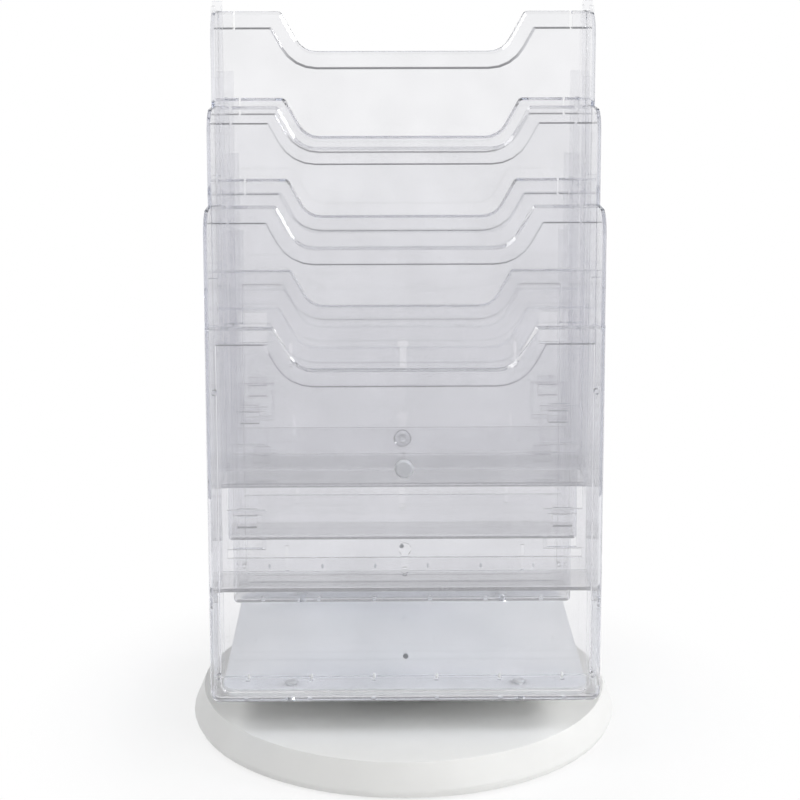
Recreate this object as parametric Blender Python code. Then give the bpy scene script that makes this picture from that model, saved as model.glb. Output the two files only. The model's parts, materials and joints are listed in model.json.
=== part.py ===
"""Rotating brochure holder: clear A4 pockets in two back-to-back flights, turning on a round white base.

Metres, +Z up. The origin lies on the turning axis at the table, and the front pockets face -Y.
"""

import math

import bmesh
import bpy
from mathutils import Matrix

# Common values
CLEAR = 0.0003  # gap between pieces that touch
WALL = 0.0024  # back wall of a tray
SIDE = 0.0022  # side wall of a tray
FLOOR = 0.0024
ARC_STEPS = 4  # sides of a rounded corner
BASE_STEPS = 64  # sides of the round base
TURN_STEPS = 32  # sides of hub and bearing
SMALL_STEPS = 12  # sides of fasteners, feet and small holes
BALL_RINGS = 4
SMOOTH_ANGLE = math.radians(50)  # edges sharper than this stay crisp
MERGE = 1e-7  # points closer than this are one
CUT_OVER = 0.001  # cutters reach this far past what they cut
STYRENE_IOR = 1.59

# Tray
TRAY_WIDTH = 0.234
TRAY_HEIGHT = 0.2964  # floor underside to shoulder
POCKET_PITCH = 0.034  # one back wall to the next
TRAY_STEP = 0.0565  # each tray hangs this much lower
HALF_GAP = 0.0009  # turning axis to the back of the upper trays
SKIRT = 0.0017  # sides and floor reach this far behind the back wall
SIDE_ROUND = 0.014  # top front corner of a side wall
FLOOR_ROUND = 0.003  # lower outside corners
SIDE_DROP = 0.0005  # side walls end this much below the shoulder

# Rim of a back wall
SHOULDER = 0.04065  # width of the shoulder on each side of the finger cut-out
CUTOUT_DEPTH = 0.0249
CUTOUT_SLOPE = math.radians(61)
CUTOUT_ROUND = 0.0145  # foot of the slope
SHOULDER_ROUND = 0.0035  # head of the slope
RIM_ROUND = 0.42 * WALL  # rounded front edge
RIM_CHAMFER = 0.5 * WALL  # lead-in at the back edge
RIM_FACETS = 4
BORDER_RIM = 0.010  # raised border under the rim
BORDER_RISE = 0.0007
BORDER_SLANT = 0.001  # width of the step at the border's lower edge
BORDER_HIDE = 0.6  # the border's ends lie this share deep in the sides and the floor
SLIT_INSET = 0.0118  # outside of the tray to a slit in the border
SLIT_WIDTH = 0.0014
SLIT_DEPTH = 0.0115

# Front frame of a tray
FRAME = 0.002  # thickness of lip, flanges and ears
FRAME_SETBACK = 0.0002  # behind the front edge of the side walls
LIP_HEIGHT = 0.0215
FLANGE_WIDTH = 0.006
FLANGE_DROP = 0.039  # below the shoulder

# Hooks of a tray and the windows of the wall that hangs on them
HOOK_RISE = 0.0496  # floor underside to the top of the hook's tab
WINDOW_HEIGHT = 0.021
WINDOW_INSET = 0.012  # outside of the tray to the window
WINDOW_WIDTH = 0.018
HOOK_WIDTH = 0.012
HOOK_THICK = 0.007
HOOK_LIP = 0.005
HOOK_NOSE = 0.002
EAR_MARGIN = 0.002  # ear round the window

# Keyhole and slots in a back wall
RIVET_RISE = 0.0129  # floor underside to the rivet's hole in the lip
KEYHOLE_R = 0.004
KEYHOLE_RISE = 0.015  # end of the stem to the middle of the keyhole
STEM_R = 0.0022
SLOT_INSET = 0.045  # outside of the tray to the slot
SLOT_WIDTH = 0.0022
SLOT_FOOT = 0.0709  # above the floor underside
SLOT_LENGTH = 0.016

# Pocket rivet, through the keyhole and the lip behind it
POCKET_RIVET_HEAD_R = 0.006
POCKET_RIVET_HEAD = 0.0018
POCKET_RIVET_TAIL_R = 0.0045
POCKET_RIVET_TAIL = 0.0012

# Lowest pocket and its front panel
FRONT_PITCH = 0.032
FRONT_DROP = 0.0671  # shoulder of the panel below the lower tray's shoulder
PANEL_ROUND = 0.0055
PANEL_BORDER = 0.006  # along its sides and foot
GATE_R = 0.0014  # mark of the mould's gate on the panel
GATE_PROUD = 0.0005
GATE_RISE = 0.0287  # above the panel's foot
PEG_R = 0.0015
PEG_PROUD = 0.0004
PEG_INSET = 0.005  # from the outside of the tray
PEG_LOW = 0.016  # above the floor underside
PEG_DROP = 0.039  # below the panel's shoulder
DRAIN_PITCH = 0.0388
DRAIN_COUNT = 6
DRAIN_WIDTH = 0.0025
DRAIN_DEPTH = 0.003

# Joining strips
STRIP_OUTER = 0.0016  # leg outside the side walls
STRIP_INNER = 0.0021  # leg behind the back walls
STRIP_REACH = 0.009  # outer leg, each way from the middle
STRIP_HEAD = 0.0062
STRIP_HEAD_HALF = 0.005
STRIP_FOOT = 0.004  # above the upper tray's floor underside

# Base
FOOT_R = 0.007
FOOT_HEIGHT = 0.0025
FOOT_RECESS = 0.0012
FOOT_INSET = 0.0248  # widest line of the base to the middle of a foot
FOOT_COUNT = 4
FOOT_BOSS_WALL = 0.002
BASE_TOP_Z = 0.0215
BASE_R = 0.1378  # widest, before its edge is rounded
BASE_SLOPE = 0.0068  # the top is this much smaller in radius
BASE_TUCK = 0.0023  # and the lower edge this much
BASE_BEAD = 0.0042  # height of the widest line above the lower edge
BASE_BEAD_ROUND = 0.003
BASE_EDGE_ROUND = 0.0008
BASE_SHELL = 0.003
RIB_COUNT = 6
RIB_THICK = 0.002
RIB_DEPTH = 0.007
BOSS_R = 0.016
BOSS_DEPTH = 0.0125  # from the base's top face
SPIGOT_DEPTH = 0.0025

# Thrust bearing
RACE_HALF_WIDTH = 0.009
RACE_THICK = 0.003
GROOVE_DEPTH = 0.0008
BALL_R = 0.003
BALL_CIRCLE = 0.029
BALL_COUNT = 12
CAGE_RIM = 0.0016  # beyond a ball's hole
CAGE_THICK = 0.0016
CAGE_PLAY = 0.0004  # ball to its hole in the cage

# Hub, pivot and carrier
HUB_FLOOR = 0.0032  # under the washer
HUB_OVERLAP = 0.002  # lower flange beyond the race
HUB_SPREAD = 0.012  # upper flange beyond the lower
HUB_WAIST = 0.008  # waist inside the lower flange
HUB_FLANGE = 0.003
HUB_POCKET_PLAY = 0.002  # round the washer
BOLT_R = 0.004
BOLT_HEAD_R = 0.0075
BOLT_HEAD = 0.0055
BOLT_END = 0.0005  # thread standing out of the nut
WASHER_R = 0.009
WASHER_THICK = 0.0016
NUT_R = 0.0075
NUT_THICK = 0.004
PLATE_THICK = 0.0048
PLATE_END = 0.042  # beyond the rivets, to each side
PLATE_EDGE = 0.008  # beyond the rivets, to front and rear
PLATE_ROUND = 0.012
SCREW_COUNT = 4
SCREW_MARGIN = 0.0008  # head to the edge of the hub's flange
SCREW_R = 0.002
SCREW_HEAD_R = 0.0042
SCREW_HEAD = 0.0026
SCREW_GRIP = 0.0032  # length in the plate
PLATE_RIVET_X = 0.070
PLATE_RIVET_SET = 0.007  # in front of the lower tray's back wall
PLATE_RIVET_R = 0.0027
PLATE_RIVET_HEAD_R = 0.005
PLATE_RIVET_HEAD = 0.0015
PLATE_RIVET_TAIL_R = 0.0042
PLATE_RIVET_TAIL = 0.0012

# Radii and spaces that follow from them
BASE_TOP_R = BASE_R - BASE_SLOPE
BASE_FOOT_R = BASE_R - BASE_TUCK
FOOT_CIRCLE = BASE_R - FOOT_INSET
RACE_BORE_R = BALL_CIRCLE - RACE_HALF_WIDTH
RACE_R = BALL_CIRCLE + RACE_HALF_WIDTH
RACE_SPACE = 2 * (BALL_R - GROOVE_DEPTH)
HUB_R = RACE_R + HUB_OVERLAP
HUB_TOP_R = HUB_R + HUB_SPREAD
HUB_POCKET_R = WASHER_R + HUB_POCKET_PLAY
HUB_POCKET_DEPTH = WASHER_THICK + NUT_THICK + BOLT_END + 3 * CLEAR
HUB_HEIGHT = HUB_FLOOR + HUB_POCKET_DEPTH
SCREW_CIRCLE = HUB_TOP_R - SCREW_HEAD_R - SCREW_MARGIN
PEG_X = TRAY_WIDTH / 2 - PEG_INSET

# Levels, from the table up
BASE_FOOT_Z = FOOT_HEIGHT - FOOT_RECESS
RACE_LOW_Z = BASE_TOP_Z + CLEAR
BALL_Z = RACE_LOW_Z + RACE_THICK + RACE_SPACE / 2
RACE_HIGH_Z = BALL_Z + RACE_SPACE / 2
HUB_Z = RACE_HIGH_Z + RACE_THICK + CLEAR
PLATE_Z = HUB_Z + HUB_HEIGHT + CLEAR
STACK_Z = PLATE_Z + PLATE_THICK + CLEAR

# Heights in a back wall, above the floor underside of its tray
WINDOW_TOP = HOOK_RISE + CLEAR + TRAY_STEP
STEM_END = RIVET_RISE + TRAY_STEP

# Places of the back walls, measured from the turning axis
WALL_Y = HALF_GAP + SKIRT + WALL
TRAY_DEPTH = POCKET_PITCH - WALL - SKIRT - CLEAR  # wall face to the front edge of the sides
LOWER_DEPTH = FRONT_PITCH - WALL - SKIRT - CLEAR
PANEL_HEIGHT = TRAY_HEIGHT - FRONT_DROP

CLEAR_STYRENE = ("clear_polystyrene", (0.93, 0.945, 0.96, 1), 0.04, 0, 1)
WHITE_STYRENE = ("white_polystyrene", (0.82, 0.83, 0.82, 1), 0.35, 0, 0)
BRIGHT_STEEL = ("bearing_steel", (0.62, 0.62, 0.63, 1), 0.25, 1, 0)
ZINC_STEEL = ("zinc_plated_steel", (0.66, 0.67, 0.68, 1), 0.35, 1, 0)
CAGE_NYLON = ("nylon", (0.72, 0.71, 0.67, 1), 0.45, 0, 0)
FOOT_RUBBER = ("rubber", (0.06, 0.06, 0.065, 1), 0.8, 0, 0)


def material(name, colour, roughness, metallic, transmission):
    made = bpy.data.materials.new(name)
    made.use_nodes = True
    shader = made.node_tree.nodes["Principled BSDF"]
    shader.inputs["Base Color"].default_value = colour
    shader.inputs["Roughness"].default_value = roughness
    shader.inputs["Metallic"].default_value = metallic
    shader.inputs["Transmission Weight"].default_value = transmission
    if transmission:
        shader.inputs["IOR"].default_value = STYRENE_IOR
    return made


def rounded(corners, steps=ARC_STEPS):
    """Points of a closed outline whose corners are (u, v) or (u, v, radius)."""
    points = []
    for i, corner in enumerate(corners):
        u, v = corner[:2]
        radius = corner[2] if len(corner) > 2 else 0
        if radius == 0:
            points.append((u, v))
            continue
        before, after = corners[i - 1], corners[(i + 1) % len(corners)]
        a = math.atan2(before[1] - v, before[0] - u)
        b = math.atan2(after[1] - v, after[0] - u)
        turn = (b - a + math.pi) % (2 * math.pi) - math.pi
        reach = radius / math.sin(abs(turn) / 2)
        middle = a + turn / 2
        cu, cv = u + reach * math.cos(middle), v + reach * math.sin(middle)
        sweep = math.copysign(math.pi - abs(turn), turn)
        for k in range(steps + 1):
            angle = middle + math.pi + sweep * (0.5 - k / steps)
            points.append((cu + radius * math.cos(angle), cv + radius * math.sin(angle)))
    return points


def lofted(loops):
    """Closed mesh through matching loops of points, with a face over each end."""
    bm = bmesh.new()
    rings = [[bm.verts.new(point) for point in loop] for loop in loops]
    for low, high in zip(rings, rings[1:]):
        for i in range(len(low)):
            bm.faces.new((low[i - 1], low[i], high[i], high[i - 1]))
    bm.faces.new(rings[0])
    bm.faces.new(rings[-1])
    bmesh.ops.recalc_face_normals(bm, faces=bm.faces)
    return finished(bm)


def swept(outline, axis, start, end):
    """Outline swept straight along an axis; its two values are the other axes in X, Y, Z order."""
    place = "XYZ".index(axis)
    loops = []
    for level in (start, end):
        loops.append([(*point[:place], level, *point[place:]) for point in outline])
    return lofted(loops)


def box(x, y, z):
    (x0, x1), (y0, y1), (z0, z1) = x, y, z
    return swept([(x0, y0), (x1, y0), (x1, y1), (x0, y1)], "Z", z0, z1)


def span(middle, width):
    return (middle - width / 2, middle + width / 2)


def circle(radius, steps, u=0, v=0):
    turn = 2 * math.pi / steps
    return [(u + radius * math.cos(turn * k), v + radius * math.sin(turn * k)) for k in range(steps)]


def turned(profile, steps=TURN_STEPS):
    """Closed (radius, z) profile turned about Z; points on the axis become single points."""
    bm = bmesh.new()
    verts = [bm.verts.new((r, 0, z)) for r, z in profile]
    edges = [bm.edges.new((verts[i - 1], verts[i])) for i in range(len(verts))]
    on_axis = [e for e in edges if max(v.co.x for v in e.verts) < MERGE]
    bmesh.ops.delete(bm, geom=on_axis, context="EDGES")
    bmesh.ops.spin(bm, geom=bm.verts[:] + bm.edges[:], axis=(0, 0, 1), cent=(0, 0, 0),
                   angle=2 * math.pi, steps=steps, use_merge=True)
    bmesh.ops.remove_doubles(bm, verts=bm.verts, dist=MERGE)
    bmesh.ops.recalc_face_normals(bm, faces=bm.faces)
    return finished(bm)


def finished(bm):
    mesh = bpy.data.meshes.new("shape")
    bm.to_mesh(mesh)
    bm.free()
    return mesh


def gathered(meshes):
    """One mesh that holds several separate shapes."""
    bm = bmesh.new()
    for mesh in meshes:
        bm.from_mesh(mesh)
    return finished(bm)


def combined(mesh, operation, tool_mesh):
    """Mesh after a Boolean with another mesh."""
    target = bpy.data.objects.new("target", mesh)
    tool = bpy.data.objects.new("tool", tool_mesh)
    for obj in (target, tool):
        bpy.context.scene.collection.objects.link(obj)
    change = target.modifiers.new("change", "BOOLEAN")
    change.operation = operation
    change.solver = "EXACT"
    change.object = tool
    bpy.context.view_layer.update()
    graph = bpy.context.evaluated_depsgraph_get()
    result = bpy.data.meshes.new_from_object(target.evaluated_get(graph))
    for obj in (target, tool):
        bpy.data.objects.remove(obj)
    return result


def joined(mesh, *tools):
    for tool in tools:
        mesh = combined(mesh, "UNION", tool)
    return mesh


def cut(mesh, *tools):
    for tool in tools:
        mesh = combined(mesh, "DIFFERENCE", tool)
    return mesh


def placed(name, mesh, finish, parent=None, location=(0, 0, 0), rotation=(0, 0, 0)):
    obj = bpy.data.objects.new(name, mesh)
    bpy.context.scene.collection.objects.link(obj)
    if not mesh.materials:
        mesh.materials.append(finish)
        mesh.shade_smooth()
        mesh.set_sharp_from_angle(angle=SMOOTH_ANGLE)
    obj.parent = parent
    obj.location = location
    obj.rotation_euler = rotation
    return obj


def axis_empty(name, z=0):
    empty = bpy.data.objects.new(name, None)
    empty.location = (0, 0, z)
    bpy.context.scene.collection.objects.link(empty)
    return empty


def wall_outline(height, half_width, foot, foot_round, inset):
    """Outline of a back wall or panel: its rim drawn in by inset, its sides and foot as given."""
    head_x = TRAY_WIDTH / 2 - SHOULDER + inset * math.tan(CUTOUT_SLOPE / 2)
    foot_x = head_x - CUTOUT_DEPTH / math.tan(CUTOUT_SLOPE)
    head_round = max(SHOULDER_ROUND - inset, RIM_ROUND)
    dip_round = CUTOUT_ROUND + inset
    shoulder = height - inset
    dip = shoulder - CUTOUT_DEPTH
    return rounded([
        (-half_width, foot, foot_round), (half_width, foot, foot_round), (half_width, shoulder),
        (head_x, shoulder, head_round), (foot_x, dip, dip_round),
        (-foot_x, dip, dip_round), (-head_x, shoulder, head_round), (-half_width, shoulder),
    ])


def wall_plate(height, half_width, foot, foot_round, edge_round, border_half, border_foot):
    """Plate with a rounded rim and a raised border, its border face at y = 0 and its back at y = WALL."""
    sections = [  # y, inset of the rim, share of edge_round
        (WALL, RIM_CHAMFER, 1),
        (WALL - RIM_CHAMFER, 0, 0),
    ]
    for k in range(RIM_FACETS + 1):
        angle = math.pi / 2 * k / RIM_FACETS
        y, inset = RIM_ROUND * (1 - math.sin(angle)), RIM_ROUND * (1 - math.cos(angle))
        sections.append((y, inset, k / RIM_FACETS))
    loops = []
    for y, inset, share in sections:
        edge = share * edge_round
        outline = wall_outline(height, half_width - edge, foot + edge, foot_round, inset)
        loops.append([(x, y, z) for x, z in outline])
    for y, share in ((0, 0), (BORDER_RISE, 1)):
        rim, step = BORDER_RIM + share * BORDER_SLANT, share * SIDE / 4
        outline = wall_outline(height, border_half - step, border_foot + step, foot_round, rim)
        loops.append([(x, y, z) for x, z in outline])
    return lofted(loops)


def tray_channel(depth):
    """Sides and floor in one: a U swept from the front edge to the back of the skirt."""
    half, inside, top = TRAY_WIDTH / 2, TRAY_WIDTH / 2 - SIDE, TRAY_HEIGHT - SIDE_DROP
    outline = rounded([
        (-half, 0, FLOOR_ROUND), (half, 0, FLOOR_ROUND), (half, top), (inside, top),
        (inside, FLOOR), (-inside, FLOOR), (-inside, top), (-half, top),
    ])
    channel = swept(outline, "Y", -depth, WALL + SKIRT)
    corner = [(-depth - CUT_OVER, top + CUT_OVER), (-depth - CUT_OVER, top - SIDE_ROUND)]
    for k in range(SMALL_STEPS // 2 + 1):
        angle = math.pi - math.pi * k / SMALL_STEPS
        y, z = math.cos(angle), math.sin(angle)
        corner.append((-depth + SIDE_ROUND * (1 + y), top - SIDE_ROUND * (1 - z)))
    corner.append((-depth + SIDE_ROUND, top + CUT_OVER))
    return cut(channel, swept(corner, "X", -half - CUT_OVER, half + CUT_OVER))


def front_frame(depth, lip, ears):
    """Flanges, and where asked a lip and ears, along the front edges of a tray."""
    half = TRAY_WIDTH / 2 - SIDE / 2
    flange = TRAY_WIDTH / 2 - SIDE - FLANGE_WIDTH
    foot, top = FLOOR / 2, TRAY_HEIGHT - FLANGE_DROP
    face = -depth + FRAME_SETBACK
    window_top = WINDOW_TOP - TRAY_STEP
    ear_top = window_top + EAR_MARGIN
    ear_foot = window_top - WINDOW_HEIGHT - EAR_MARGIN
    right = [(half, foot), (half, top), (flange, top)]
    if ears:
        ear = TRAY_WIDTH / 2 - WINDOW_INSET - WINDOW_WIDTH - EAR_MARGIN
        right += [(flange, ear_top), (ear, ear_top), (ear, ear_foot), (flange, ear_foot)]
    if lip:
        right.append((flange, LIP_HEIGHT))
        outline = right + [(-x, z) for x, z in reversed(right)]
        return [swept(outline, "Y", face, face + FRAME)]
    right.append((flange, foot))
    left = [(-x, z) for x, z in reversed(right)]
    return [swept(side, "Y", face, face + FRAME) for side in (right, left)]


def hook(side):
    """Tab from an ear through the next wall's window, with a lip that rises in front of that wall."""
    root = -TRAY_DEPTH + FRAME_SETBACK + FRAME / 2
    wall_face = -POCKET_PITCH
    back, nose = wall_face - CLEAR, wall_face - CLEAR - HOOK_NOSE
    top, foot = HOOK_RISE, HOOK_RISE - HOOK_THICK
    tip = top + HOOK_LIP
    profile = [(root, foot), (nose, foot), (nose, tip), (back, tip), (back, top), (root, top)]
    middle = side * (TRAY_WIDTH / 2 - WINDOW_INSET - WINDOW_WIDTH / 2)
    return swept(profile, "X", middle - HOOK_WIDTH / 2, middle + HOOK_WIDTH / 2)


def wall_cutters():
    """Hook windows, slots, slits in the border and the keyhole of a tray's back wall."""
    reach = (-WALL, 2 * WALL)
    shapes = []
    for side in (1, -1):
        window = side * (TRAY_WIDTH / 2 - WINDOW_INSET - WINDOW_WIDTH / 2)
        slot = side * (TRAY_WIDTH / 2 - SLOT_INSET)
        shapes.append(box(span(window, WINDOW_WIDTH), reach, (WINDOW_TOP - WINDOW_HEIGHT, WINDOW_TOP)))
        shapes.append(box(span(slot, SLOT_WIDTH), reach, (SLOT_FOOT, SLOT_FOOT + SLOT_LENGTH)))
        slit = side * (TRAY_WIDTH / 2 - SLIT_INSET)
        depth = (TRAY_HEIGHT - SLIT_DEPTH, TRAY_HEIGHT + CUT_OVER)
        shapes.append(box(span(slit, SLIT_WIDTH), reach, depth))
    ring_z, stem_z = STEM_END + KEYHOLE_RISE, STEM_END
    neck = math.asin(STEM_R / KEYHOLE_R)
    outline = []
    for k in range(2 * ARC_STEPS + 1):
        angle = -math.pi / 2 + neck + (2 * math.pi - 2 * neck) * k / (2 * ARC_STEPS)
        outline.append((KEYHOLE_R * math.cos(angle), ring_z + KEYHOLE_R * math.sin(angle)))
    for k in range(ARC_STEPS + 1):
        angle = math.pi + math.pi * k / ARC_STEPS
        outline.append((STEM_R * math.cos(angle), stem_z + STEM_R * math.sin(angle)))
    shapes.append(swept(outline, "Y", *reach))
    return gathered(shapes)


def tray_shell(depth):
    half = TRAY_WIDTH / 2
    border_half, border_foot = half - BORDER_HIDE * SIDE, BORDER_HIDE * FLOOR
    plate = wall_plate(TRAY_HEIGHT, half - SIDE / 2, FLOOR / 2, 0, 0, border_half, border_foot)
    return joined(tray_channel(depth), cut(plate, wall_cutters()))


def hanging_tray():
    """Upper and middle tray: lip, ears and hooks that carry the tray in front."""
    frame = joined(front_frame(TRAY_DEPTH, True, True)[0], gathered([hook(1), hook(-1)]))
    face = -TRAY_DEPTH + FRAME_SETBACK
    hole = swept(circle(STEM_R, SMALL_STEPS, 0, RIVET_RISE), "Y", face - FRAME, face + 2 * FRAME)
    return joined(tray_shell(TRAY_DEPTH), cut(frame, hole))


def peg(side, height):
    root = -LOWER_DEPTH + FRAME_SETBACK + FRAME / 2
    tip = -FRONT_PITCH - PEG_PROUD
    return swept(circle(PEG_R, SMALL_STEPS, side * PEG_X, height), "Y", tip, root)


def peg_heights():
    return (PEG_LOW, PANEL_HEIGHT - PEG_DROP)


def plate_rivet_places():
    return [(side * PLATE_RIVET_X, -PLATE_RIVET_SET) for side in (1, -1)]


def lowest_tray():
    """Lower tray: no lip, pegs for the front panel, drain slots and rivet holes in the floor."""
    pegs = [peg(side, height) for side in (1, -1) for height in peg_heights()]
    flanges = joined(gathered(front_frame(LOWER_DEPTH, False, False)), gathered(pegs))
    holes = []
    for k in range(DRAIN_COUNT):
        x = (k - (DRAIN_COUNT - 1) / 2) * DRAIN_PITCH
        holes.append(box(span(x, DRAIN_WIDTH), (-DRAIN_DEPTH - CLEAR, -CLEAR), (-FLOOR, 2 * FLOOR)))
    for x, y in plate_rivet_places():
        holes.append(swept(circle(PLATE_RIVET_R + CLEAR, SMALL_STEPS, x, y), "Z", -FLOOR, 2 * FLOOR))
    return cut(joined(tray_shell(LOWER_DEPTH), flanges), gathered(holes))


def front_panel():
    """Panel with a skirt behind its sides and foot, a gate mark, and a hole for each peg."""
    half, inside = TRAY_WIDTH / 2, TRAY_WIDTH / 2 - SIDE
    plate = wall_plate(PANEL_HEIGHT, half, 0, PANEL_ROUND, RIM_ROUND / 2, half - PANEL_BORDER, PANEL_BORDER)
    gate = swept(circle(GATE_R, SMALL_STEPS, 0, GATE_RISE), "Y", BORDER_RISE - GATE_PROUD, WALL / 2)
    top, edge = PANEL_HEIGHT - SHOULDER_ROUND, SIDE / 4
    skirt = rounded([
        (-half + edge, edge, PANEL_ROUND - edge), (half - edge, edge, PANEL_ROUND - edge),
        (half - edge, top), (inside, top),
        (inside, FLOOR, PANEL_ROUND - SIDE), (-inside, FLOOR, PANEL_ROUND - SIDE),
        (-inside, top), (-half + edge, top),
    ])
    holes = []
    for side in (1, -1):
        for height in peg_heights():
            outline = circle(PEG_R + CLEAR, SMALL_STEPS, side * PEG_X, height)
            holes.append(swept(outline, "Y", -WALL, 2 * WALL))
    return cut(joined(plate, swept(skirt, "Y", WALL / 2, WALL + SKIRT), gate), gathered(holes))


def joining_strip():
    """H-section strip for the right-hand edges of both halves, with a head that stops on the side walls."""
    half = TRAY_WIDTH / 2
    outer, outer_face = half + CLEAR, half + CLEAR + STRIP_OUTER
    inner, inner_face = half - SIDE - CLEAR, half - SIDE - CLEAR - STRIP_INNER
    web, inner_reach = HALF_GAP - CLEAR, HALF_GAP + SKIRT - CLEAR
    quarter = [(outer_face, STRIP_REACH), (outer, STRIP_REACH), (outer, web), (inner, web),
               (inner, inner_reach), (inner_face, inner_reach)]
    outline = quarter + [(x, -y) for x, y in reversed(quarter)]
    foot = STACK_Z + 2 * TRAY_STEP + STRIP_FOOT
    stop = STACK_Z + 2 * TRAY_STEP + TRAY_HEIGHT + CLEAR
    strip = swept(outline, "Z", foot, stop + STRIP_HEAD / 2)
    edge = STRIP_OUTER / 2
    out, back = outer_face - CLEAR, inner_face + CLEAR
    head = rounded([
        (out, -STRIP_HEAD_HALF, edge), (out, STRIP_HEAD_HALF, edge),
        (back, STRIP_HEAD_HALF, edge), (back, -STRIP_HEAD_HALF, edge),
    ])
    return joined(strip, swept(head, "Z", stop, stop + STRIP_HEAD))


def pocket_rivet():
    """Mushroom rivet along Z: head in front of the wall, shank through wall and lip, tail behind the lip."""
    field = -POCKET_PITCH + BORDER_RISE
    lip_back = -TRAY_DEPTH + FRAME_SETBACK + FRAME
    length = lip_back - field + 2 * CLEAR
    shank = STEM_R - CLEAR
    edge = POCKET_RIVET_HEAD / 3
    return turned([
        (0, -POCKET_RIVET_HEAD), (POCKET_RIVET_HEAD_R - 2 * edge, -POCKET_RIVET_HEAD),
        (POCKET_RIVET_HEAD_R, -edge), (POCKET_RIVET_HEAD_R, 0), (shank, 0), (shank, length),
        (POCKET_RIVET_TAIL_R, length), (shank, length + POCKET_RIVET_TAIL),
        (0, length + POCKET_RIVET_TAIL),
    ], 2 * SMALL_STEPS)


def plate_rivet():
    """Snap rivet through the carrier plate and a tray's floor; z = 0 at the plate's underside."""
    shoulder = -CLEAR
    tail = PLATE_THICK + CLEAR + FLOOR + CLEAR
    edge = PLATE_RIVET_HEAD / 2
    return turned([
        (0, shoulder - PLATE_RIVET_HEAD), (PLATE_RIVET_HEAD_R - edge, shoulder - PLATE_RIVET_HEAD),
        (PLATE_RIVET_HEAD_R, shoulder - edge), (PLATE_RIVET_HEAD_R, shoulder), (PLATE_RIVET_R, shoulder),
        (PLATE_RIVET_R, tail), (PLATE_RIVET_TAIL_R, tail), (PLATE_RIVET_R, tail + PLATE_RIVET_TAIL),
        (0, tail + PLATE_RIVET_TAIL),
    ], SMALL_STEPS)


def around(count, circle_r, start=0.0):
    angles = [start + 2 * math.pi * k / count for k in range(count)]
    return [(circle_r * math.cos(a), circle_r * math.sin(a)) for a in angles]


def foot_places():
    return around(FOOT_COUNT, FOOT_CIRCLE, math.pi / FOOT_COUNT)


def base_shell():
    """Turned shell with a sloping rim, a boss for the pivot, foot bosses and radial ribs underneath."""
    ceiling = BASE_TOP_Z - BASE_SHELL
    bore = BOLT_R + CLEAR
    spigot = RACE_BORE_R - CLEAR
    boss_foot = BASE_TOP_Z - BOSS_DEPTH
    shell = turned(rounded([
        (0, ceiling), (BASE_TOP_R - BASE_SHELL, ceiling), (BASE_FOOT_R - BASE_SHELL, BASE_FOOT_Z),
        (BASE_FOOT_R, BASE_FOOT_Z), (BASE_R, BASE_FOOT_Z + BASE_BEAD, BASE_BEAD_ROUND),
        (BASE_TOP_R, BASE_TOP_Z, BASE_EDGE_ROUND), (0, BASE_TOP_Z),
    ], ARC_STEPS // 2), BASE_STEPS)
    middle = BASE_TOP_Z - BASE_SHELL / 2
    shell = joined(shell, swept(circle(BOSS_R, TURN_STEPS), "Z", boss_foot, middle),
                   swept(circle(spigot, TURN_STEPS), "Z", middle, BASE_TOP_Z + SPIGOT_DEPTH))
    boss_r = FOOT_R + CLEAR + FOOT_BOSS_WALL
    bosses = [swept(circle(boss_r, SMALL_STEPS, x, y), "Z", BASE_FOOT_Z, middle) for x, y in foot_places()]
    shell = joined(shell, gathered(bosses))
    for k in range(RIB_COUNT // 2):
        rib = box(span(0, 2 * BASE_TOP_R - BASE_SHELL), span(0, RIB_THICK), (ceiling - RIB_DEPTH, middle))
        rib.transform(Matrix.Rotation(math.pi * k / (RIB_COUNT // 2), 4, "Z"))
        shell = joined(shell, rib)
    top = BASE_FOOT_Z + FOOT_RECESS + CLEAR
    pockets = [swept(circle(FOOT_R + CLEAR, SMALL_STEPS, x, y), "Z", 0, top) for x, y in foot_places()]
    pivot = swept(circle(bore, SMALL_STEPS), "Z", 0, BASE_TOP_Z + 2 * SPIGOT_DEPTH)
    return cut(shell, gathered(pockets), pivot)


def foot():
    edge = FOOT_RECESS / 2
    profile = [(0, FOOT_HEIGHT), (FOOT_R, FOOT_HEIGHT), (FOOT_R, edge), (FOOT_R - edge, 0), (0, 0)]
    return turned(profile, SMALL_STEPS)


def race(upwards):
    """Grooved ring; z = 0 at the balls' centres."""
    groove = BALL_R + CLEAR
    face, back = RACE_SPACE / 2, RACE_SPACE / 2 + RACE_THICK
    spread = math.acos(face / groove)
    profile = [(RACE_BORE_R, face)]
    for k in range(ARC_STEPS + 1):
        angle = -spread + 2 * spread * k / ARC_STEPS
        profile.append((BALL_CIRCLE + groove * math.sin(angle), groove * math.cos(angle)))
    profile += [(RACE_R, face), (RACE_R, back), (RACE_BORE_R, back)]
    return turned([(r, upwards * z) for r, z in profile])


def ball():
    bm = bmesh.new()
    bmesh.ops.create_uvsphere(bm, u_segments=2 * BALL_RINGS, v_segments=BALL_RINGS, radius=BALL_R)
    return finished(bm)


def ball_cage():
    half_width = BALL_R + CAGE_PLAY + CAGE_RIM
    low, high = BALL_CIRCLE - half_width, BALL_CIRCLE + half_width
    half = CAGE_THICK / 2
    ring = turned([(low, half), (high, half), (high, -half), (low, -half)])
    pockets = [swept(circle(BALL_R + CAGE_PLAY, 2 * ARC_STEPS, x, y), "Z", -CAGE_THICK, CAGE_THICK)
               for x, y in around(BALL_COUNT, BALL_CIRCLE)]
    return cut(ring, gathered(pockets))


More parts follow.
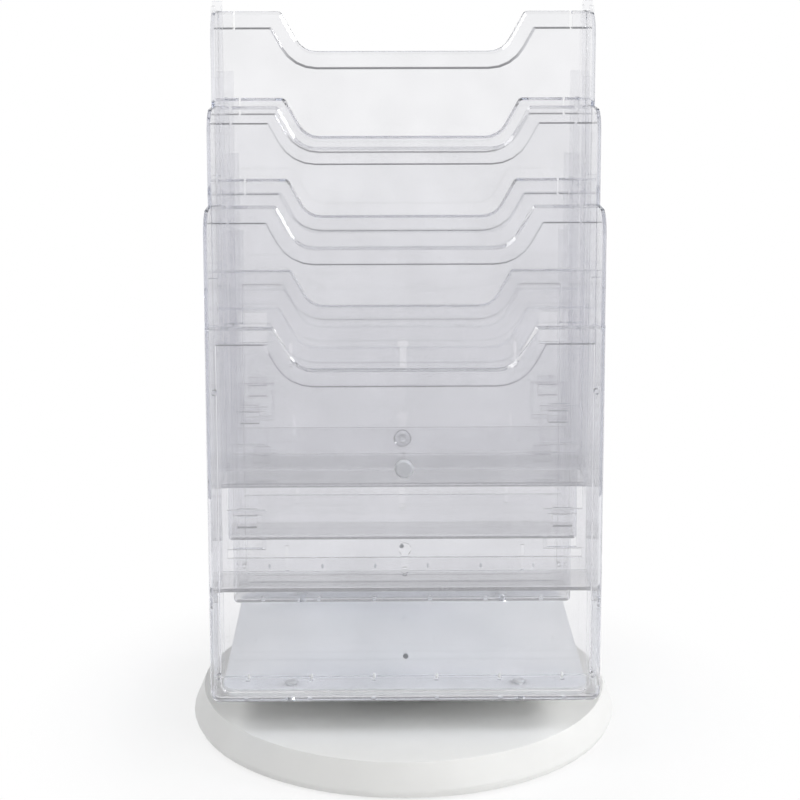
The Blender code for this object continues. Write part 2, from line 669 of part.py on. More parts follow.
def hub():
    """Spool between the upper race and the carrier plate; z = 0 on the race."""
    bore = BOLT_R + CLEAR
    spigot = RACE_BORE_R - CLEAR
    bevel = HUB_FLANGE / 2
    waist = HUB_R - HUB_WAIST
    body = turned([
        (bore, -SPIGOT_DEPTH), (spigot, -SPIGOT_DEPTH), (spigot, 0), (HUB_R, 0), (HUB_R, HUB_FLANGE),
        (waist, HUB_FLANGE + bevel), (waist, HUB_HEIGHT - HUB_FLANGE),
        (HUB_TOP_R, HUB_HEIGHT - HUB_FLANGE), (HUB_TOP_R, HUB_HEIGHT), (HUB_POCKET_R, HUB_HEIGHT),
        (HUB_POCKET_R, HUB_FLOOR), (bore, HUB_FLOOR),
    ])
    reach = (HUB_HEIGHT - 2 * HUB_FLANGE, 2 * HUB_HEIGHT)
    holes = [swept(circle(SCREW_R + CLEAR, SMALL_STEPS, x, y), "Z", *reach) for x, y in screw_places()]
    return cut(body, gathered(holes))


def screw_places():
    return around(SCREW_COUNT, SCREW_CIRCLE, math.pi / SCREW_COUNT)


def hub_screw():
    """Pan-head screw, pointing up from under the hub's flange into the plate; z = 0 at its head's seat."""
    edge = SCREW_HEAD / 3
    tip = 2 * CLEAR + HUB_FLANGE + SCREW_GRIP
    return turned([
        (0, tip), (SCREW_R, tip - SCREW_R), (SCREW_R, 0), (SCREW_HEAD_R, 0),
        (SCREW_HEAD_R - edge / 2, edge - SCREW_HEAD), (SCREW_HEAD_R - 2 * edge, -SCREW_HEAD),
        (0, -SCREW_HEAD),
    ], SMALL_STEPS)


def hexagon(across, low, high):
    return swept(circle(across, 6), "Z", low, high)


def pivot_levels():
    """Heights of the bolt head's top, the washer, the nut and the bolt's end."""
    seat = BASE_TOP_Z - BOSS_DEPTH - CLEAR
    washer = HUB_Z + HUB_FLOOR + CLEAR
    nut = washer + WASHER_THICK + CLEAR
    return seat, washer, nut, nut + NUT_THICK + BOLT_END


def pivot_bolt():
    seat, _, _, end = pivot_levels()
    sunk = BOLT_HEAD / 2
    chamfer = BOLT_END / 2
    shank = turned([
        (0, end), (BOLT_R - chamfer, end), (BOLT_R, end - chamfer), (BOLT_R, seat - sunk), (0, seat - sunk),
    ], SMALL_STEPS)
    return joined(hexagon(BOLT_HEAD_R, seat - BOLT_HEAD, seat), shank)


def ring(inner, outer, thick):
    return turned([(inner, thick), (outer, thick), (outer, 0), (inner, 0)], SMALL_STEPS)


def pivot_nut():
    bore = swept(circle(BOLT_R + CLEAR, SMALL_STEPS), "Z", -NUT_THICK, 2 * NUT_THICK)
    return cut(hexagon(NUT_R, 0, NUT_THICK), bore)


def carrier_plate():
    """White plate with blind holes for the screws and holes for the rivets; z = 0 underneath."""
    x, y = PLATE_RIVET_X + PLATE_END, wall_place(2) + PLATE_RIVET_SET + PLATE_EDGE
    outline = rounded([(sx * x, sx * sy * y, PLATE_ROUND) for sx in (-1, 1) for sy in (1, -1)])
    holes = []
    for place in screw_places():
        hole = circle(SCREW_R + CLEAR, SMALL_STEPS, *place)
        holes.append(swept(hole, "Z", -PLATE_THICK, SCREW_GRIP + CLEAR))
    for place in carrier_rivet_places():
        hole = circle(PLATE_RIVET_R + CLEAR, SMALL_STEPS, *place)
        holes.append(swept(hole, "Z", -PLATE_THICK, 2 * PLATE_THICK))
    return cut(swept(outline, "Z", 0, PLATE_THICK), gathered(holes))


def wall_place(tray):
    """Distance of a tray's back wall face from the turning axis: 0 is the upper tray, 2 the lower."""
    return WALL_Y + tray * POCKET_PITCH


def floor_place(tray):
    return STACK_Z + (2 - tray) * TRAY_STEP


def carrier_rivet_places():
    y = wall_place(2) + PLATE_RIVET_SET
    return [(sx * PLATE_RIVET_X, sy * y) for sx in (1, -1) for sy in (1, -1)]


def build_base(finishes):
    placed("base_disc", base_shell(), finishes["white"])
    mesh = foot()
    for k, (x, y) in enumerate(foot_places(), 1):
        placed(f"foot_{k}", mesh, finishes["rubber"], None, (x, y, 0))
    placed("lower_race", race(-1), finishes["bearing"], None, (0, 0, BALL_Z))
    placed("pivot_bolt", pivot_bolt(), finishes["zinc"])
    _, washer, nut, _ = pivot_levels()
    washer_mesh = ring(BOLT_R + CLEAR, WASHER_R, WASHER_THICK)
    placed("pivot_washer", washer_mesh, finishes["zinc"], None, (0, 0, washer))
    placed("pivot_nut", pivot_nut(), finishes["zinc"], None, (0, 0, nut))


def build_ball_cage(finishes):
    axis = axis_empty("cage_axis", BALL_Z)
    placed("ball_cage", ball_cage(), finishes["nylon"], axis)
    mesh = ball()
    for k, (x, y) in enumerate(around(BALL_COUNT, BALL_CIRCLE), 1):
        placed(f"ball_{k:02d}", mesh, finishes["bearing"], axis, (x, y, 0))


def build_turntable(finishes, axis):
    placed("upper_race", race(1), finishes["bearing"], axis, (0, 0, BALL_Z))
    placed("hub", hub(), finishes["white"], axis, (0, 0, HUB_Z))
    placed("carrier_plate", carrier_plate(), finishes["white"], axis, (0, 0, PLATE_Z))
    mesh = hub_screw()
    seat = HUB_Z + HUB_HEIGHT - HUB_FLANGE - CLEAR
    for k, (x, y) in enumerate(screw_places(), 1):
        placed(f"hub_screw_{k}", mesh, finishes["zinc"], axis, (x, y, seat))
    mesh = plate_rivet()
    for k, (x, y) in enumerate(carrier_rivet_places(), 1):
        placed(f"carrier_rivet_{k}", mesh, finishes["clear"], axis, (x, y, PLATE_Z))


def build_half(side, turn, meshes, finishes, axis):
    """One flight of pockets; turn is 0 for the front and half a turn for the rear."""
    facing = (0, 0, turn)
    sign = -math.cos(turn)
    for tray, name in enumerate(("upper", "middle", "lower")):
        mesh = meshes["lowest"] if name == "lower" else meshes["hanging"]
        place = (0, sign * wall_place(tray), floor_place(tray))
        placed(f"{side}_{name}_tray", mesh, finishes["clear"], axis, place, facing)
    panel_place = (0, sign * (wall_place(2) + FRONT_PITCH), floor_place(2))
    placed(f"{side}_panel", meshes["panel"], finishes["clear"], axis, panel_place, facing)
    rivet_y = wall_place(1) - BORDER_RISE + CLEAR
    rivet_z = floor_place(1) + STEM_END
    rivet_place = (0, sign * rivet_y, rivet_z)
    rivet_facing = (-math.pi / 2, 0, turn)
    placed(f"{side}_pocket_rivet", meshes["rivet"], finishes["clear"], axis, rivet_place, rivet_facing)


def build_stack(finishes, axis):
    meshes = {
        "hanging": hanging_tray(), "lowest": lowest_tray(), "panel": front_panel(), "rivet": pocket_rivet(),
    }
    build_half("front", 0, meshes, finishes, axis)
    build_half("rear", math.pi, meshes, finishes, axis)
    mesh = joining_strip()
    placed("right_joining_strip", mesh, finishes["clear"], axis)
    placed("left_joining_strip", mesh, finishes["clear"], axis, (0, 0, 0), (0, 0, math.pi))


def main():
    for obj in list(bpy.data.objects):
        bpy.data.objects.remove(obj)
    finishes = {
        "clear": material(*CLEAR_STYRENE),
        "white": material(*WHITE_STYRENE),
        "bearing": material(*BRIGHT_STEEL),
        "zinc": material(*ZINC_STEEL),
        "nylon": material(*CAGE_NYLON),
        "rubber": material(*FOOT_RUBBER),
    }
    build_base(finishes)
    build_ball_cage(finishes)
    axis = axis_empty("carousel_axis")
    build_turntable(finishes, axis)
    build_stack(finishes, axis)


main()
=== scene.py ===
"""Looks of the rotating brochure holder: clear moulded pockets, a white base, the turning gear between."""

import json
import math

import bmesh
import bpy
from mathutils import Matrix, Vector

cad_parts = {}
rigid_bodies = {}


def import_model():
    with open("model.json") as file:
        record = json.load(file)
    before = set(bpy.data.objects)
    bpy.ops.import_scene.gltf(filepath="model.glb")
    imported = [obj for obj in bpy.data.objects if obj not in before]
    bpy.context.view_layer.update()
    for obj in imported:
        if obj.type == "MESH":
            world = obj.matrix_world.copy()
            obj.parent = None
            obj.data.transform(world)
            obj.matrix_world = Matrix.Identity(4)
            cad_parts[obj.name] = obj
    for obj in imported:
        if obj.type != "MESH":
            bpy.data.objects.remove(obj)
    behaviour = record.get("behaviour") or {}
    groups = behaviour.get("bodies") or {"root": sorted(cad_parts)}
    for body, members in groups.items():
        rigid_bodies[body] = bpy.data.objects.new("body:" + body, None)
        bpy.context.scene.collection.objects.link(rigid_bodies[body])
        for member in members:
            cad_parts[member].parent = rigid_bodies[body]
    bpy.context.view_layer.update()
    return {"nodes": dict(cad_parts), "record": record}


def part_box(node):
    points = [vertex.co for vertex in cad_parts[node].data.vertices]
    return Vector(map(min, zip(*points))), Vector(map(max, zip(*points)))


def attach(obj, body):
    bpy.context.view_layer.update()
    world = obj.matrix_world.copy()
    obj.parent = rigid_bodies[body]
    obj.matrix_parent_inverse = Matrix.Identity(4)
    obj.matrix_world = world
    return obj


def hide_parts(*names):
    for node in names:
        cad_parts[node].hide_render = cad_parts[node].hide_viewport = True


for old in list(bpy.data.objects):
    bpy.data.objects.remove(old)
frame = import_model()

MM = 0.001

# Camera, as fitted to the photograph: metres, degrees and pixels of an 800 x 800 picture
CAMERA_PLACE = Vector((-0.01402, -1.12478, 0.48100))
CAMERA_PITCH = 8.648
CAMERA_YAW = 0.621
CAMERA_ROLL = -0.10
PICTURE = 800
FOCAL_PIXELS = 1785.7
AHEAD_ROW = 244.7  # row of the point straight ahead
SENSOR_MM = 36

# Moulded pieces
EDGE_ROUND = 0.2 * MM  # edges of a polished mould
EDGE_STEPS = 2
FLAT_ANGLE = math.radians(0.4)  # faces flatter than this are one face
CREASE_ANGLE = math.radians(28)  # edges sharper than this are rounded
SMOOTH_ANGLE = math.radians(60)
WELD = 0.002 * MM

# Rims of the back walls and panels: as packed, with a round front edge and a lead-in behind, and as they
# show, with a slanted front edge in two facets, which bends the view down and so draws the rim as a line
RIM_WALL = 2.4 * MM
RIM_ROUND = 0.42 * RIM_WALL
RIM_ANGLES = (0, 22.5, 45, 67.5, 90)  # degrees round the front edge
RIM_LEAD = 0.5 * RIM_WALL
RIM_RISE = 0.375 * RIM_WALL  # height of each facet
RIM_TILTS = (math.radians(49), math.radians(42))  # lean from the wall, the upper facet first
RIM_BACK = 0.1 * RIM_WALL
RIM_REACH = 28 * MM  # from the shoulder to just under the finger cut-out
SHOULDER_FLAT = 85 * MM  # beyond this half width the rim is level
RIM_NEAR = 0.02 * MM


def linear(hex_colour):
    """sRGB hex, such as #F4F4F2, as linear RGBA."""
    shares = [int(hex_colour[i:i + 2], 16) / 255 for i in (1, 3, 5)]
    return [s / 12.92 if s <= 0.04045 else ((s + 0.055) / 1.055) ** 2.4 for s in shares] + [1.0]


def add(tree, kind, sockets=None, **settings):
    """Adds a node; sockets maps an input to a value or to the output that feeds it."""
    made = tree.nodes.new(kind)
    for name, value in settings.items():
        setattr(made, name, value)
    for key, value in (sockets or {}).items():
        if isinstance(value, bpy.types.NodeSocket):
            tree.links.new(value, made.inputs[key])
        else:
            made.inputs[key].default_value = value
    return made


def new_material(name):
    made = bpy.data.materials.new(name)
    made.use_nodes = True
    made.node_tree.nodes.clear()
    return made, made.node_tree


def per_metre(size):
    """Scale of a pattern whose features are about this size."""
    return 1 / size


def ramp_between(tree, factor, low, high, start=0.35, end=0.65):
    ramp = add(tree, "ShaderNodeValToRGB", {"Fac": factor})
    ramp.color_ramp.elements[0].position = start
    ramp.color_ramp.elements[0].color = low
    ramp.color_ramp.elements[1].position = end
    ramp.color_ramp.elements[1].color = high
    return ramp.outputs["Color"]


STYRENE_IOR = 1.59
BODY_TINT = (0.0, 0.2, 0.7, 1.0)  # red is taken away most, blue least
BODY_DENSITY = 0.5  # per metre


def clear_polystyrene():
    """Crystal polystyrene from a polished mould: bright gloss, faint flow waves, a breath of grey."""
    made, tree = new_material("clear_polystyrene_polished")
    place = add(tree, "ShaderNodeTexCoord").outputs["Object"]
    flow = add(tree, "ShaderNodeTexNoise", {"Vector": place, "Scale": per_metre(38 * MM), "Detail": 2.0})
    tint = ramp_between(tree, flow.outputs["Fac"], linear("#F6F6F7"), linear("#F9F9FA"))
    handling = add(tree, "ShaderNodeTexNoise", {"Vector": place, "Scale": per_metre(9 * MM), "Detail": 4.0})
    gloss = add(tree, "ShaderNodeMapRange", {
        "Value": handling.outputs["Fac"], "From Min": 0.4, "From Max": 0.75, "To Min": 0.0, "To Max": 0.012,
    })
    plastic = add(tree, "ShaderNodeBsdfPrincipled", {
        "Base Color": tint, "Roughness": gloss.outputs["Result"], "IOR": STYRENE_IOR,
        "Transmission Weight": 1.0,
    })
    lamp_light = add(tree, "ShaderNodeBsdfTransparent", {"Color": linear("#F1F2F4")})
    path = add(tree, "ShaderNodeLightPath")
    both = add(tree, "ShaderNodeMixShader", {
        0: path.outputs["Is Shadow Ray"], 1: plastic.outputs["BSDF"], 2: lamp_light.outputs["BSDF"],
    })
    body = add(tree, "ShaderNodeVolumeAbsorption", {"Color": BODY_TINT, "Density": BODY_DENSITY})
    add(tree, "ShaderNodeOutputMaterial", {
        "Surface": both.outputs["Shader"], "Volume": body.outputs["Volume"],
    })
    return made


def satin_polystyrene(name, pale, deep, through):
    """Clear plastic with a fine matt skin: milky where light falls on it, blurring what lies behind."""
    made, tree = new_material(name)
    place = add(tree, "ShaderNodeTexCoord").outputs["Object"]
    skin = add(tree, "ShaderNodeTexNoise", {"Vector": place, "Scale": per_metre(0.5 * MM), "Detail": 3.0})
    tint = ramp_between(tree, skin.outputs["Fac"], linear(deep), linear(pale))
    matt = add(tree, "ShaderNodeMapRange", {"Value": skin.outputs["Fac"], "To Min": 0.3, "To Max": 0.5})
    plastic = add(tree, "ShaderNodeBsdfPrincipled", {
        "Base Color": tint, "Roughness": matt.outputs["Result"], "IOR": STYRENE_IOR,
        "Transmission Weight": through,
    })
    add(tree, "ShaderNodeOutputMaterial", {"Surface": plastic.outputs["BSDF"]})
    return made


def white_polystyrene(name, deep, pale):
    """White polystyrene from a fine spark-eroded mould: satin, softly grained, barely uneven in tone."""
    made, tree = new_material(name)
    place = add(tree, "ShaderNodeTexCoord").outputs["Object"]
    cloud = add(tree, "ShaderNodeTexNoise", {"Vector": place, "Scale": per_metre(45 * MM), "Detail": 3.0})
    tint = ramp_between(tree, cloud.outputs["Fac"], linear(deep), linear(pale))
    grain = add(tree, "ShaderNodeTexNoise", {"Vector": place, "Scale": per_metre(0.6 * MM), "Detail": 2.0})
    satin = add(tree, "ShaderNodeMapRange", {
        "Value": grain.outputs["Fac"], "To Min": 0.40, "To Max": 0.52,
    })
    bump = add(tree, "ShaderNodeBump", {
        "Strength": 0.15, "Distance": 0.02 * MM, "Height": grain.outputs["Fac"],
    })
    plastic = add(tree, "ShaderNodeBsdfPrincipled", {
        "Base Color": tint, "Roughness": satin.outputs["Result"], "IOR": STYRENE_IOR,
        "Normal": bump.outputs["Normal"],
    })
    add(tree, "ShaderNodeOutputMaterial", {"Surface": plastic.outputs["BSDF"]})
    return made


def bearing_steel():
    """Hardened bearing steel, ground and bright, with fine turning marks round the axis."""
    made, tree = new_material("bearing_steel_ground")
    place = add(tree, "ShaderNodeTexCoord").outputs["Object"]
    rings = add(tree, "ShaderNodeTexWave", {
        "Vector": place, "Scale": per_metre(1.2 * MM) / (2 * math.pi), "Distortion": 1.5,
    }, wave_type="RINGS", rings_direction="Z")
    tint = ramp_between(tree, rings.outputs["Fac"], linear("#B9B9BB"), linear("#C9C9CA"), 0.1, 0.9)
    turned = add(tree, "ShaderNodeMapRange", {
        "Value": rings.outputs["Fac"], "To Min": 0.18, "To Max": 0.30,
    })
    metal = add(tree, "ShaderNodeBsdfPrincipled", {
        "Base Color": tint, "Metallic": 1.0, "Roughness": turned.outputs["Result"],
    })
    add(tree, "ShaderNodeOutputMaterial", {"Surface": metal.outputs["BSDF"]})
    return made


def zinc_plated_steel():
    """Bright zinc plating: pale bluish metal with a faint crystalline cloud."""
    made, tree = new_material("zinc_plated_steel")
    place = add(tree, "ShaderNodeTexCoord").outputs["Object"]
    crystals = add(tree, "ShaderNodeTexVoronoi", {"Vector": place, "Scale": per_metre(1.5 * MM)})
    tint = ramp_between(tree, crystals.outputs["Distance"], linear("#C9CDD2"), linear("#D8DADD"), 0.1, 0.8)
    plating = add(tree, "ShaderNodeMapRange", {
        "Value": crystals.outputs["Distance"], "To Min": 0.28, "To Max": 0.42,
    })
    metal = add(tree, "ShaderNodeBsdfPrincipled", {
        "Base Color": tint, "Metallic": 1.0, "Roughness": plating.outputs["Result"],
    })
    add(tree, "ShaderNodeOutputMaterial", {"Surface": metal.outputs["BSDF"]})
    return made


def natural_nylon():
    """Natural nylon as moulded: milky cream, satin, a little uneven."""
    made, tree = new_material("nylon_natural")
    place = add(tree, "ShaderNodeTexCoord").outputs["Object"]
    milk = add(tree, "ShaderNodeTexNoise", {"Vector": place, "Scale": per_metre(4 * MM), "Detail": 3.0})
    tint = ramp_between(tree, milk.outputs["Fac"], linear("#DAD7CD"), linear("#E4E1D8"))
    bump = add(tree, "ShaderNodeBump", {
        "Strength": 0.1, "Distance": 0.05 * MM, "Height": milk.outputs["Fac"],
    })
    plastic = add(tree, "ShaderNodeBsdfPrincipled", {
        "Base Color": tint, "Roughness": 0.45, "IOR": 1.53, "Subsurface Weight": 0.1,
        "Subsurface Radius": (2 * MM, 2 * MM, 2 * MM), "Normal": bump.outputs["Normal"],
    })
    add(tree, "ShaderNodeOutputMaterial", {"Surface": plastic.outputs["BSDF"]})
    return made


def black_rubber():
    """Moulded rubber: near black, matt, with a fine grain."""
    made, tree = new_material("rubber_matt_black")
    place = add(tree, "ShaderNodeTexCoord").outputs["Object"]
    grain = add(tree, "ShaderNodeTexNoise", {"Vector": place, "Scale": per_metre(0.8 * MM), "Detail": 4.0})
    tint = ramp_between(tree, grain.outputs["Fac"], linear("#1F1F20"), linear("#2A2A2B"))
    bump = add(tree, "ShaderNodeBump", {
        "Strength": 0.3, "Distance": 0.08 * MM, "Height": grain.outputs["Fac"],
    })
    rubber = add(tree, "ShaderNodeBsdfPrincipled", {
        "Base Color": tint, "Roughness": 0.8, "IOR": 1.52, "Normal": bump.outputs["Normal"],
    })
    add(tree, "ShaderNodeOutputMaterial", {"Surface": rubber.outputs["BSDF"]})
    return made


FINISHES = {
    "clear_polystyrene": clear_polystyrene(),
    "white_polystyrene": white_polystyrene("white_polystyrene_satin", "#EFEFED", "#F3F3F1"),
    "bearing_steel": bearing_steel(),
    "zinc_plated_steel": zinc_plated_steel(),
    "nylon": natural_nylon(),
    "rubber": black_rubber(),
}
FROSTED_PIP = satin_polystyrene("clear_polystyrene_frosted", "#FFFFFF", "#FCFCFC", 0.1)
TORN_GATE = satin_polystyrene("clear_polystyrene_gate_cut", "#A9ABB0", "#8E9096", 0.4)
SNAP_RIVET = satin_polystyrene("clear_polystyrene_tumbled", "#EEEFF1", "#E8E9EB", 0.45)
OWN_FINISH = {
    # The carrier plate gets a greyer copy of the base's white polystyrene: painted shade, for the plate
    # lying in the shade inside the stack
    "carrier_plate": white_polystyrene("white_polystyrene_painted_shade", "#EAEBEB", "#F0F0F0"),
    "front_pocket_rivet": satin_polystyrene("clear_polystyrene_satin", "#FFFFFF", "#F8F9FA", 0.45),
    "carrier_rivet_1": SNAP_RIVET,
    "carrier_rivet_2": SNAP_RIVET,
    "carrier_rivet_3": SNAP_RIVET,
    "carrier_rivet_4": SNAP_RIVET,
}
SLOT_OF = {row["node"]: row["material_slot"] for row in frame["record"]["subparts"]}
BODY_OF = {
    node: body for body, nodes in frame["record"]["behaviour"]["bodies"].items() for node in nodes
}


def rim_sections():
    """Depth behind the front face and inset from the outline, of each packed line and where it goes."""
    packed = [(RIM_WALL, RIM_LEAD), (RIM_WALL - RIM_LEAD, 0.0)]
    for angle in (math.radians(a) for a in RIM_ANGLES):
        packed.append((RIM_ROUND * (1 - math.sin(angle)), RIM_ROUND * (1 - math.cos(angle))))
    upper, lower = (RIM_RISE * math.tan(tilt) for tilt in RIM_TILTS)
    slanted = [
        (RIM_WALL, RIM_BACK), (RIM_WALL - RIM_BACK, 0.0),
        (lower + upper, 0.0), (lower + upper / 2, RIM_RISE / 2),
        (lower, RIM_RISE), (lower / 2, 1.5 * RIM_RISE), (0.0, 2 * RIM_RISE),
    ]
    return list(zip(packed, slanted))


def slant_rim(bm):
    """Moves the lines of a wall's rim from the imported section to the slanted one."""
    top = max(v.co.z for v in bm.verts)
    crest = [v.co.y for v in bm.verts if v.co.z > top - WELD]
    inward = 1 if crest[0] < 0 else -1
    face = min(inward * y for y in crest) - RIM_ROUND
    rim = [(v, inward * v.co.y - face) for v in bm.verts if v.co.z > top - RIM_REACH]
    ridge = [Vector((v.co.x, 0, v.co.z)) for v, depth in rim if abs(depth - RIM_ROUND) < RIM_NEAR]
    moves = []
    for v, depth in rim:
        place = Vector((v.co.x, 0, v.co.z))
        foot = Vector((v.co.x, 0, top))
        if abs(v.co.x) < SHOULDER_FLAT:
            foot = min(ridge, key=lambda point: (point - place).length)
        drop = place - foot
        for (old_depth, old_inset), (new_depth, new_inset) in rim_sections():
            if abs(depth - old_depth) < RIM_NEAR and abs(drop.length - old_inset) < RIM_NEAR:
                shift = drop.normalized() * (new_inset - old_inset)
                moves.append((v, Vector((shift.x, inward * (new_depth - old_depth), shift.z))))
    for v, shift in moves:
        v.co += shift


def welded(source, walled):
    """The points and whole flat faces of a copy of a CAD node's mesh; a walled one gets its slanted rim."""
    bm = bmesh.new()
    bm.from_mesh(source)
    bmesh.ops.remove_doubles(bm, verts=bm.verts, dist=WELD)
    if walled:
        slant_rim(bm)
    bmesh.ops.dissolve_limit(bm, angle_limit=FLAT_ANGLE, verts=bm.verts, edges=bm.edges)
    bm.verts.index_update()
    points = [v.co.copy() for v in bm.verts]
    faces = [[v.index for v in f.verts] for f in bm.faces]
    bm.free()
    return points, faces


def moulded(node):
    """A node as it comes out of its mould, with softly rounded edges."""
    mesh = bpy.data.meshes.new(node + "_moulded")
    points, faces = welded(frame["nodes"][node].data, node.endswith(("_tray", "_panel")))
    mesh.from_pydata(points, [], faces)
    piece = bpy.data.objects.new(node + "_moulded", mesh)
    bpy.context.scene.collection.objects.link(piece)
    bevel = piece.modifiers.new("soft_edges", "BEVEL")
    bevel.width = EDGE_ROUND
    bevel.segments = EDGE_STEPS
    bevel.limit_method = "ANGLE"
    bevel.angle_limit = CREASE_ANGLE
    mesh.shade_smooth()
    mesh.set_sharp_from_angle(angle=SMOOTH_ANGLE)
    level = piece.modifiers.new("flat_faces_stay_flat", "WEIGHTED_NORMAL")
    level.keep_sharp = True
    mesh.materials.append(OWN_FINISH.get(node, FINISHES[SLOT_OF[node]]))
    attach(piece, BODY_OF[node])
    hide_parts(node)


for node, slot in SLOT_OF.items():
    shown = frame["nodes"][node]
    shown.data.materials.clear()
    shown.data.materials.append(FINISHES[slot])
    if slot in ("clear_polystyrene", "white_polystyrene"):
        moulded(node)


GATE_RISE = 28.7 * MM  # the gate's mark above the panel's foot
GATE_R = 1.6 * MM
GATE_SKIN = 0.12 * MM
GATE_SIDES = 24
PIP_COUNT = 6
PIP_PITCH = 37.6 * MM
PIP_RISE = 15.5 * MM  # above the panel's foot
PIP_HALF = Vector((0.95, 0.4, 1.9)) * MM  # half its width, depth and height
PIP_GAP = 0.02 * MM  # keeps it off the wall's own surface
PIP_SIDES = 16


def carried(bm, panel, mark, finish):
    """Makes a small piece of a mesh, which rides with the panel that bears it."""
    mesh = bpy.data.meshes.new(panel + mark)
    bm.to_mesh(mesh)
    bm.free()
    mesh.materials.append(finish)
    piece = bpy.data.objects.new(panel + mark, mesh)
    bpy.context.scene.collection.objects.link(piece)
    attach(piece, BODY_OF[panel])


def gate_cut(panel, facing):
    """Torn skin where the gate was cut off, on the mark that a panel bears; facing is -1 to the front."""
    low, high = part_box(panel)
    face = low.y if facing < 0 else high.y
    place = Matrix.Translation((0, face + facing * GATE_SKIN, low.z + GATE_RISE))
    bm = bmesh.new()
    bmesh.ops.create_cone(
        bm, cap_ends=True, segments=GATE_SIDES, radius1=GATE_R, radius2=GATE_R, depth=GATE_SKIN,
        matrix=place @ Matrix.Rotation(math.pi / 2, 4, "X"),
    )
    carried(bm, panel, "_gate_cut", TORN_GATE)


def foot_pips(panel, facing):
    """A row of small moulded pips on the inside of a panel, near its foot."""
    low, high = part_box(panel)
    face = low.y if facing < 0 else high.y
    inside = face - facing * (RIM_WALL + PIP_GAP + PIP_HALF.y)
    bm = bmesh.new()
    for step in range(PIP_COUNT):
        across = (step - (PIP_COUNT - 1) / 2) * PIP_PITCH
        bmesh.ops.create_uvsphere(
            bm, u_segments=PIP_SIDES, v_segments=PIP_SIDES // 2, radius=1.0,
            matrix=Matrix.LocRotScale(Vector((across, inside, low.z + PIP_RISE)), None, PIP_HALF),
        )
    for rounded in bm.faces:
        rounded.smooth = True
    carried(bm, panel, "_foot_pips", FROSTED_PIP)


for panel, facing in (("front_panel", -1), ("rear_panel", 1)):
    gate_cut(panel, facing)
    foot_pips(panel, facing)


def photo_camera():
    pitch, yaw, roll = (math.radians(a) for a in (CAMERA_PITCH, CAMERA_YAW, CAMERA_ROLL))
    ahead = Vector((math.sin(yaw) * math.cos(pitch), math.cos(yaw) * math.cos(pitch), -math.sin(pitch)))
    level = Vector((math.cos(yaw), -math.sin(yaw), 0))
    up = level.cross(ahead)
    right = level * math.cos(roll) + up * math.sin(roll)
    above = up * math.cos(roll) - level * math.sin(roll)
    lens = bpy.data.cameras.new("photo_camera")
    lens.sensor_width = SENSOR_MM
    lens.lens = FOCAL_PIXELS / PICTURE * SENSOR_MM
    lens.shift_y = (AHEAD_ROW - PICTURE / 2) / PICTURE
    camera = bpy.data.objects.new("photo_camera", lens)
    turn = Matrix((right, above, -ahead)).transposed().to_4x4()
    camera.matrix_world = Matrix.Translation(CAMERA_PLACE) @ turn
    bpy.context.scene.collection.objects.link(camera)
    bpy.context.scene.camera = camera


def softbox(name, place, aim, width, height, level):
    """Area lamp; level is how bright a white card at aim that faces the lamp comes out."""
    away = Vector(place) - Vector(aim)
    lamp = bpy.data.lights.new(name, "AREA")
    lamp.shape = "RECTANGLE"
    lamp.size = width
    lamp.size_y = height
    lamp.energy = level * math.pi ** 2 * away.length_squared
    holder = bpy.data.objects.new(name, lamp)
    holder.matrix_world = Matrix.Translation(place) @ away.to_track_quat("Z", "Y").to_matrix().to_4x4()
    bpy.context.scene.collection.objects.link(holder)


FLOOR_REACH = 60.0  # past the top of the picture, so that clear walls show no far edge
FLOOR_NEAR = 0.14  # from here the floor fades to plain white
FLOOR_FAR = 0.26
NEAR_WHITE = 0.75  # share of plain white in the floor close by, which keeps the shadow
# Behind the stand: sine of the height above the horizon, and tone
BACKDROP_TONES = ((-0.2, 0.86), (0.12, 0.86), (0.3, 0.3), (1.0, 0.25))
COOL = (0.985, 0.99, 1.02)  # tint of the backdrop
FRONT_TONE = 0.25
ROOM_END, BACKDROP_START = -0.2, 0.4  # towards the rear, as a sine


def toned(tree, factor, tones):
    """Grey ramp over the given places."""
    first, last = tones[0][0], tones[-1][0]
    where = add(tree, "ShaderNodeMapRange", {"Value": factor, "From Min": first, "From Max": last})
    ramp = add(tree, "ShaderNodeValToRGB", {"Fac": where.outputs["Result"]})
    stops = ramp.color_ramp.elements
    for i, (place, tone) in enumerate(tones):
        stop = stops[i] if i < 2 else stops.new(1.0)
        stop.position = (place - first) / (last - first)
        stop.color = [tone * share for share in COOL] + [1]
    return ramp.outputs["Color"]


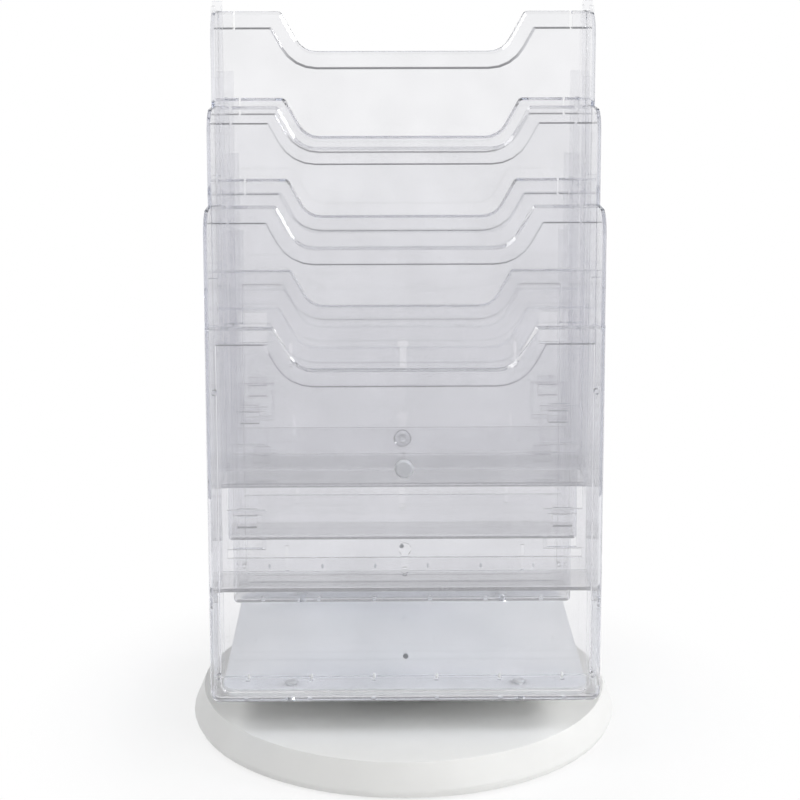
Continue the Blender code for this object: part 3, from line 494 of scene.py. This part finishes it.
def studio_floor():
    """Plain white paper that keeps the stand's shadow; clear walls and gloss show it as white too."""
    half = FLOOR_REACH
    mesh = bpy.data.meshes.new("studio_floor")
    corners = [(-half, -half, 0), (half, -half, 0), (half, half, 0), (-half, half, 0)]
    mesh.from_pydata(corners, [], [(0, 1, 2, 3)])
    floor = bpy.data.objects.new("studio_floor", mesh)
    bpy.context.scene.collection.objects.link(floor)
    made, tree = new_material("studio_paper_white")
    place = add(tree, "ShaderNodeTexCoord").outputs["Object"]
    reach = add(tree, "ShaderNodeVectorMath", {0: place}, operation="LENGTH")
    far = add(tree, "ShaderNodeMapRange", {
        "Value": reach.outputs["Value"], "From Min": FLOOR_NEAR, "From Max": FLOOR_FAR, "To Min": NEAR_WHITE,
    }, interpolation_type="SMOOTHSTEP")
    paper = add(tree, "ShaderNodeBsdfDiffuse", {"Color": linear("#F8F8F8")})
    white = add(tree, "ShaderNodeEmission", {"Color": linear("#FFFFFF"), "Strength": 1.0})
    seen = add(tree, "ShaderNodeMixShader", {
        0: far.outputs["Result"], 1: paper.outputs["BSDF"], 2: white.outputs["Emission"],
    })
    path = add(tree, "ShaderNodeLightPath")
    through = add(tree, "ShaderNodeMath", {
        0: path.outputs["Is Camera Ray"], 1: path.outputs["Is Transmission Ray"],
    }, operation="MAXIMUM")
    shown = add(tree, "ShaderNodeMath", {
        0: through.outputs["Value"], 1: path.outputs["Is Glossy Ray"],
    }, operation="MAXIMUM")
    both = add(tree, "ShaderNodeMixShader", {
        0: shown.outputs["Value"], 1: paper.outputs["BSDF"], 2: seen.outputs["Shader"],
    })
    add(tree, "ShaderNodeOutputMaterial", {"Surface": both.outputs["Shader"]})
    mesh.materials.append(made)


def studio_world():
    """A pale backdrop behind the stand and a dim room above and in front, so that clear edges draw lines."""
    world = bpy.data.worlds.new("studio")
    bpy.context.scene.world = world
    world.use_nodes = True
    tree = world.node_tree
    tree.nodes.clear()
    place = add(tree, "ShaderNodeTexCoord").outputs["Generated"]
    parts = add(tree, "ShaderNodeSeparateXYZ", {"Vector": place})
    depth = add(tree, "ShaderNodeMapRange", {
        "Value": parts.outputs["Y"], "From Min": ROOM_END, "From Max": BACKDROP_START,
    }, interpolation_type="SMOOTHSTEP")
    tone = add(tree, "ShaderNodeMix", {
        0: depth.outputs["Result"], 6: (FRONT_TONE, FRONT_TONE, FRONT_TONE, 1),
        7: toned(tree, parts.outputs["Z"], BACKDROP_TONES),
    }, data_type="RGBA")
    around = add(tree, "ShaderNodeBackground", {"Color": tone.outputs[2], "Strength": 1.0})
    white = add(tree, "ShaderNodeBackground", {"Color": linear("#FFFFFF"), "Strength": 1.0})
    path = add(tree, "ShaderNodeLightPath")
    both = add(tree, "ShaderNodeMixShader", {
        0: path.outputs["Is Camera Ray"], 1: around.outputs["Background"], 2: white.outputs["Background"],
    })
    add(tree, "ShaderNodeOutputWorld", {"Surface": both.outputs["Shader"]})


MIDDLE = (0, 0, 0.1)
STACK = (0, 0, 0.3)
# Name, place, aim, width, height and level of each lamp
LAMPS = (
    ("edge_right", (1.5, 0.0, 1.15), STACK, 0.65, 0.45, 0.36),
    ("key_front_right", (0.95, -1.1, 1.0), MIDDLE, 0.7, 0.9, 0.35),
    ("top_left", (-1.0, -0.3, 1.5), MIDDLE, 0.8, 0.8, 0.3),
)
# Light crosses up to eighteen clear walls in a row and is led along them, so its paths are kept long
LONG_PATH = 160
SHADOW_PATH = 64

photo_camera()
studio_floor()
studio_world()
for lamp in LAMPS:
    softbox(*lamp)

stage = bpy.context.scene
stage.cycles.max_bounces = LONG_PATH
stage.cycles.transmission_bounces = LONG_PATH
stage.cycles.glossy_bounces = LONG_PATH
stage.cycles.transparent_max_bounces = SHADOW_PATH
stage.view_settings.view_transform = "Standard"
